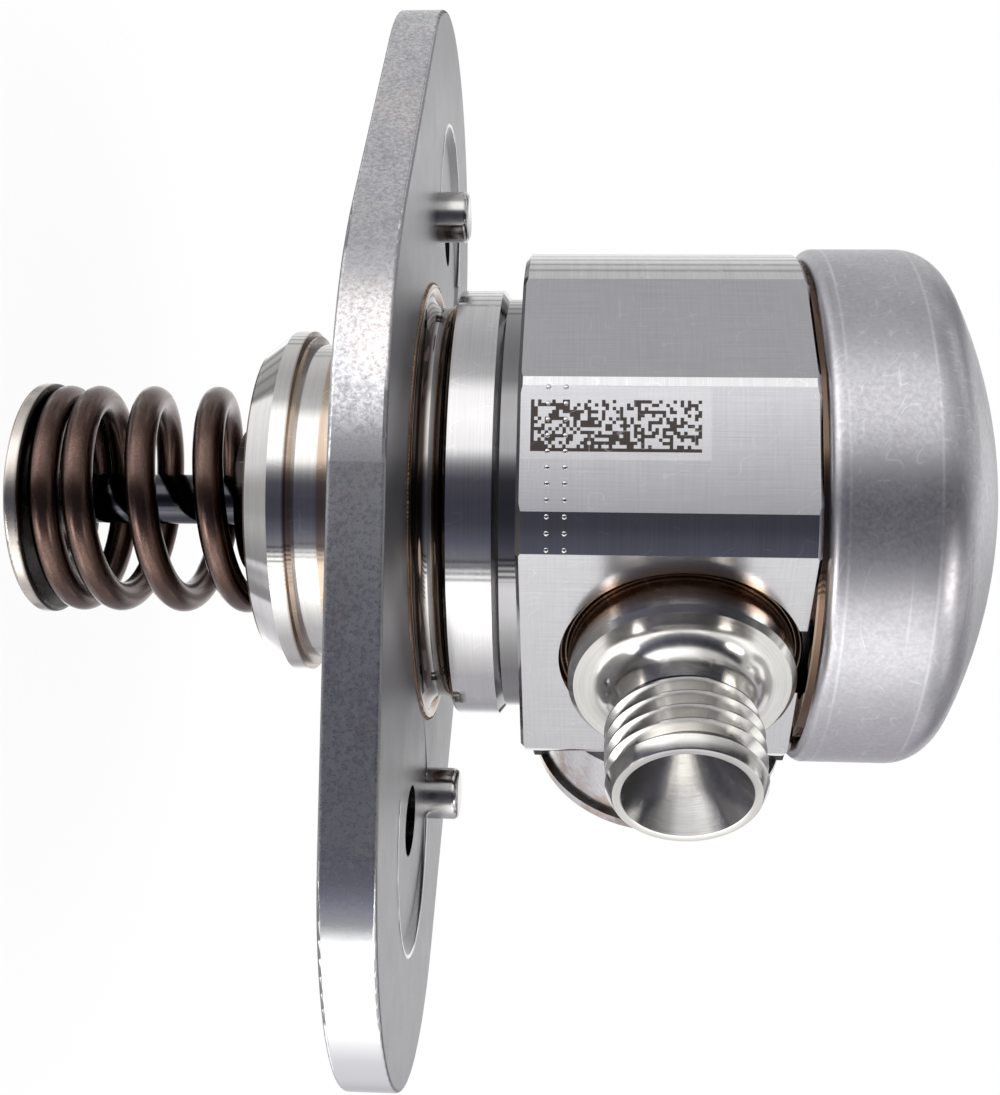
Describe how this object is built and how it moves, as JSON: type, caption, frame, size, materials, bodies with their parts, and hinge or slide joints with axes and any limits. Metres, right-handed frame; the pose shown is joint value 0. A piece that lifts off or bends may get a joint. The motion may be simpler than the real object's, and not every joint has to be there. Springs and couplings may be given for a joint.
{
  "type": "high pressure fuel pump",
  "caption": "Flange-mounted piston pump with a spring-returned plunger, ported steel body, threaded outlet, solenoid inlet valve, inlet stub and domed damper cap.",
  "frame": {"origin": "centre of the bolt pattern on the flange's mounting face, on the plunger axis", "axes": "+Z along the plunger axis from the flange towards the cap, X through the two bolt holes; the outlet lies 23.1 degrees from +X towards -Y"},
  "size_m": [0.115, 0.0863, 0.097],
  "materials": {
    "machined_steel": "turned and milled stainless steel, bright",
    "flange_steel": "satin stamped steel",
    "weld_steel": "heat-tinted weld seam",
    "pin_steel": "ground steel",
    "spring_steel": "oil-tempered spring wire, dark brown",
    "retainer_steel": "warm grey steel",
    "plunger_steel": "hardened and ground steel",
    "cap_steel": "matt blasted deep-drawn steel",
    "seal_polymer": "black seal rubber",
    "valve_steel": "polished hardened steel",
    "magnet_iron": "soft magnetic steel",
    "coil_wire": "enamelled copper winding",
    "black_plastic": "black moulded plastic",
    "terminal_metal": "tinned terminals"
  },
  "bodies": {
    "housing": {"pump_body": "machined_steel", "mounting_flange": "flange_steel", "flange_weld": "weld_steel", "guide_pin_1": "pin_steel", "guide_pin_2": "pin_steel", "cylinder_sleeve": "valve_steel", "seal_carrier": "machined_steel", "plunger_seal": "seal_polymer", "damper_cap": "cap_steel", "outlet_fitting": "machined_steel", "outlet_valve_seat": "valve_steel", "outlet_valve_cage": "valve_steel", "solenoid_can": "cap_steel", "solenoid_cover": "cap_steel", "coil_bobbin": "black_plastic", "solenoid_coil": "coil_wire", "pole_core": "magnet_iron", "inlet_valve_seat": "valve_steel", "connector_shell": "black_plastic", "connector_terminal_1": "terminal_metal", "connector_terminal_2": "terminal_metal", "inlet_fitting": "machined_steel", "inlet_filter": "valve_steel", "damper_ring_lower": "valve_steel", "damper_capsule_lower": "valve_steel", "damper_ring_middle": "valve_steel", "damper_capsule_upper": "valve_steel", "damper_ring_upper": "valve_steel"},
    "plunger_unit": {"plunger": "plunger_steel", "spring_retainer": "retainer_steel", "plunger_spring": "spring_steel"},
    "inlet_valve_unit": {"inlet_valve": "valve_steel", "armature": "magnet_iron"},
    "outlet_ball": {"outlet_valve_ball": "valve_steel"}
  },
  "joints": [
    {"name": "plunger_slide", "type": "slide", "parent": "housing", "child": "plunger_unit", "axis": [0, 0, 1], "range_m": [0, 0.0045], "stiffness_N_per_m": 12000, "springref_m": -0.006, "deforming": ["plunger_spring"]},
    {"name": "inlet_valve_slide", "type": "slide", "parent": "housing", "child": "inlet_valve_unit", "axis": [-0.3923, -0.9198, 0], "range_m": [0, 0.00045], "stiffness_N_per_m": 800, "springref_m": -0.001},
    {"name": "outlet_ball_slide", "type": "slide", "parent": "housing", "child": "outlet_ball", "axis": [0.9198, -0.3923, 0], "range_m": [0, 0.0006], "stiffness_N_per_m": 60, "springref_m": -0.001}
  ]
}
